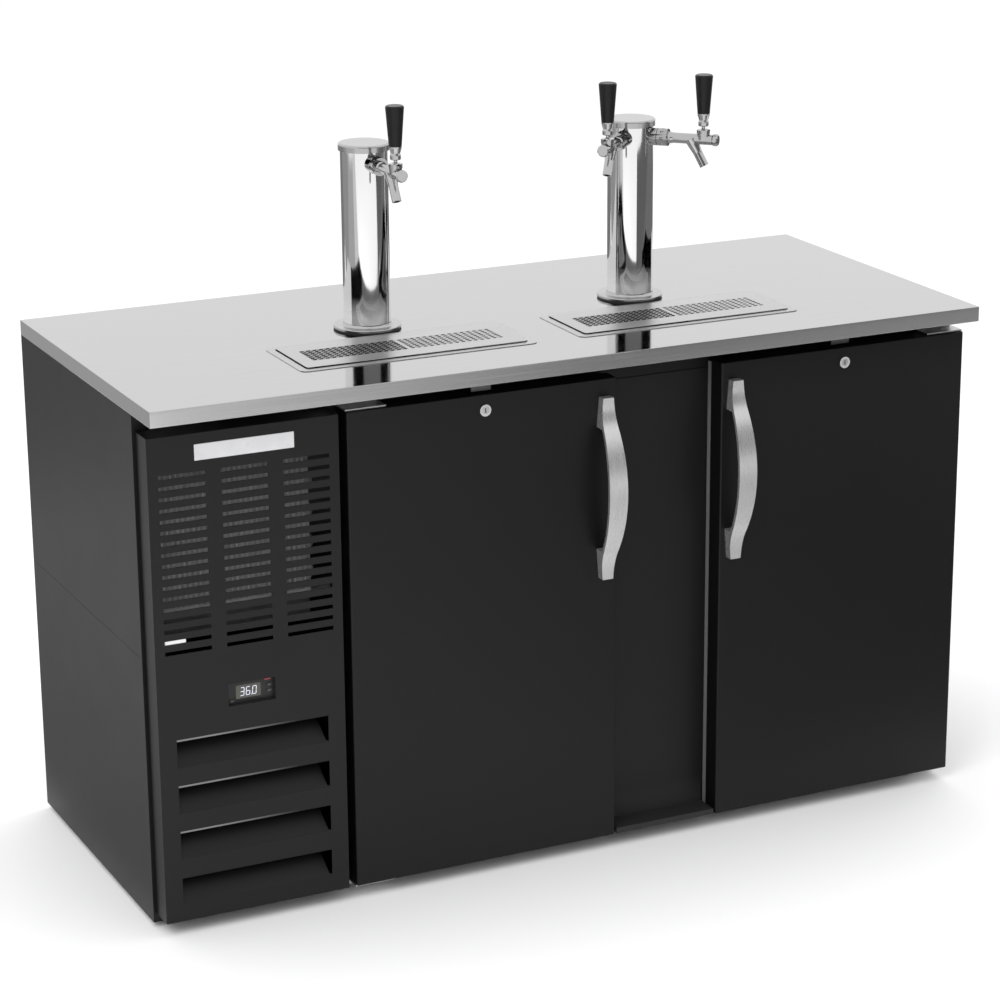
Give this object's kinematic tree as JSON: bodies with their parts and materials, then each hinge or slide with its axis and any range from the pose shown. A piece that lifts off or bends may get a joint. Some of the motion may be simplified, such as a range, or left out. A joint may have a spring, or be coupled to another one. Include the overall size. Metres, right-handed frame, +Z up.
{
  "type": "draft beer cooler",
  "caption": "Two-door back-bar keg cooler with a louvred side machine bay, steel worktop with drip trays, and chrome tap towers with pull-lever faucets.",
  "frame": {"origin": "on the floor, under the middle of the bounding box", "axes": "+X to the right seen from the front, +Y to the back, +Z up; the doors face -Y"},
  "size_m": [1.524, 0.6776, 1.305],
  "materials": {
    "black_paint": "black textured paint",
    "stainless": "brushed",
    "satin_metal": "satin",
    "chrome": "polished",
    "zinc": "zinc plated",
    "galvanised": "galvanised sheet",
    "fin_aluminium": "plain",
    "black_rubber": "matte",
    "grey_gasket": "matte",
    "liner_plastic": "matte",
    "dark_plastic": "matte",
    "key_plastic": "matte",
    "tap_plastic": "glossy"
  },
  "bodies": {
    "cabinet": {"base_pan": "black_paint", "levelling_feet": "black_rubber", "left_end_panel": "black_paint", "right_wall": "black_paint", "rear_wall": "black_paint", "divider_wall": "black_paint", "ceiling_panel": "galvanised", "floor_panel": "galvanised", "mullion_post": "black_paint", "machine_rear_cover": "black_paint", "countertop": "stainless", "drip_trays": "stainless", "tower_columns": "chrome", "tower_bases": "chrome", "tower_caps": "chrome", "tower_seals": "black_rubber", "tap_shanks": "chrome", "coupling_nuts": "chrome", "faucet_bodies": "chrome", "faucet_bonnets": "chrome", "hinge_brackets": "zinc", "lock_strikes": "zinc", "grille_panel": "black_paint", "controller_case": "dark_plastic", "controller_face": "dark_plastic", "compressor": "black_paint", "condenser_coil": "fin_aluminium", "condenser_fan_shroud": "zinc", "condenser_fan_motor": "zinc", "evaporator_housing": "galvanised", "evaporator_coil": "fin_aluminium", "evaporator_fan_motor": "zinc"},
    "left_door": {"left_door_shell": "black_paint", "left_door_liner": "liner_plastic", "left_door_gasket": "grey_gasket", "left_door_handle": "satin_metal", "left_lock_barrel": "chrome"},
    "left_lock": {"left_lock_plug": "zinc"},
    "grate_left": {"drip_grate_left": "stainless"},
    "right_door": {"right_door_shell": "black_paint", "right_door_liner": "liner_plastic", "right_door_gasket": "grey_gasket", "right_door_handle": "satin_metal", "right_lock_barrel": "chrome"},
    "right_lock": {"right_lock_plug": "zinc"},
    "grate_right": {"drip_grate_right": "stainless"},
    "tap_left": {"tap_lever_left": "chrome", "tap_handle_left": "tap_plastic"},
    "valve_left": {"valve_shaft_left": "zinc"},
    "tap_middle": {"tap_lever_middle": "chrome", "tap_handle_middle": "tap_plastic"},
    "valve_middle": {"valve_shaft_middle": "zinc"},
    "tap_right": {"tap_lever_right": "chrome", "tap_handle_right": "tap_plastic"},
    "valve_right": {"valve_shaft_right": "zinc"},
    "condenser_fan_rotor": {"condenser_fan": "dark_plastic"},
    "evaporator_fan_rotor": {"evaporator_fan": "dark_plastic"},
    "key_left": {"controller_key_left": "key_plastic"},
    "key_upper": {"controller_key_upper": "key_plastic"},
    "key_lower": {"controller_key_lower": "key_plastic"}
  },
  "joints": [
    {"name": "left_door_hinge", "type": "hinge", "parent": "cabinet", "child": "left_door", "pos_m": [-0.4067, -0.26725, 0.4384], "axis": [0, 0, -1], "range_deg": [0, 110]},
    {"name": "right_door_hinge", "type": "hinge", "parent": "cabinet", "child": "right_door", "pos_m": [0.7467, -0.26725, 0.4384], "axis": [0, 0, 1], "range_deg": [0, 110]},
    {"name": "left_lock_turn", "type": "hinge", "parent": "left_door", "child": "left_lock", "pos_m": [-0.1737, -0.28325, 0.825], "axis": [0, -1, 0], "range_deg": [0, 90]},
    {"name": "right_lock_turn", "type": "hinge", "parent": "right_door", "child": "right_lock", "pos_m": [0.5137, -0.28325, 0.825], "axis": [0, 1, 0], "range_deg": [0, 90]},
    {"name": "tap_left_pull", "type": "hinge", "parent": "cabinet", "child": "tap_left", "pos_m": [-0.2495, -0.10875, 1.2065], "axis": [1, 0, 0], "range_deg": [0, 30]},
    {"name": "valve_left_slide", "type": "slide", "parent": "cabinet", "child": "valve_left", "axis": [0, 1, 0], "range_m": [0, 0.0075]},
    {"name": "tap_middle_pull", "type": "hinge", "parent": "cabinet", "child": "tap_middle", "pos_m": [0.16116, -0.07009, 1.2065], "axis": [0.7071, -0.7071, 0], "range_deg": [0, 30]},
    {"name": "valve_middle_slide", "type": "slide", "parent": "cabinet", "child": "valve_middle", "axis": [0.7071, 0.7071, 0], "range_m": [0, 0.0075]},
    {"name": "tap_right_pull", "type": "hinge", "parent": "cabinet", "child": "tap_right", "pos_m": [0.34784, -0.07009, 1.2065], "axis": [0.7071, 0.7071, 0], "range_deg": [0, 30]},
    {"name": "valve_right_slide", "type": "slide", "parent": "cabinet", "child": "valve_right", "axis": [-0.7071, 0.7071, 0], "range_m": [0, 0.0075]},
    {"name": "grate_left_lift", "type": "slide", "parent": "cabinet", "child": "grate_left", "axis": [0, 0, 1], "range_m": [0, 0.1]},
    {"name": "grate_right_lift", "type": "slide", "parent": "cabinet", "child": "grate_right", "axis": [0, 0, 1], "range_m": [0, 0.1]},
    {"name": "condenser_fan_spin", "type": "hinge", "parent": "cabinet", "child": "condenser_fan_rotor", "pos_m": [-0.601, -0.15954, 0.671], "axis": [0, 1, 0], "continuous": true},
    {"name": "evaporator_fan_spin", "type": "hinge", "parent": "cabinet", "child": "evaporator_fan_rotor", "pos_m": [-0.29455, 0.10625, 0.689], "axis": [1, 0, 0], "continuous": true},
    {"name": "key_left_press", "type": "slide", "parent": "cabinet", "child": "key_left", "axis": [0, 1, 0], "range_m": [0, 0.0008], "stiffness_N_per_m": 600},
    {"name": "key_upper_press", "type": "slide", "parent": "cabinet", "child": "key_upper", "axis": [0, 1, 0], "range_m": [0, 0.0008], "stiffness_N_per_m": 600},
    {"name": "key_lower_press", "type": "slide", "parent": "cabinet", "child": "key_lower", "axis": [0, 1, 0], "range_m": [0, 0.0008], "stiffness_N_per_m": 600}
  ],
  "couplings": [
    {"joint": "valve_left_slide", "follows": "tap_left_pull", "m_per_rad": 0.0134},
    {"joint": "valve_middle_slide", "follows": "tap_middle_pull", "m_per_rad": 0.0134},
    {"joint": "valve_right_slide", "follows": "tap_right_pull", "m_per_rad": 0.0134}
  ]
}
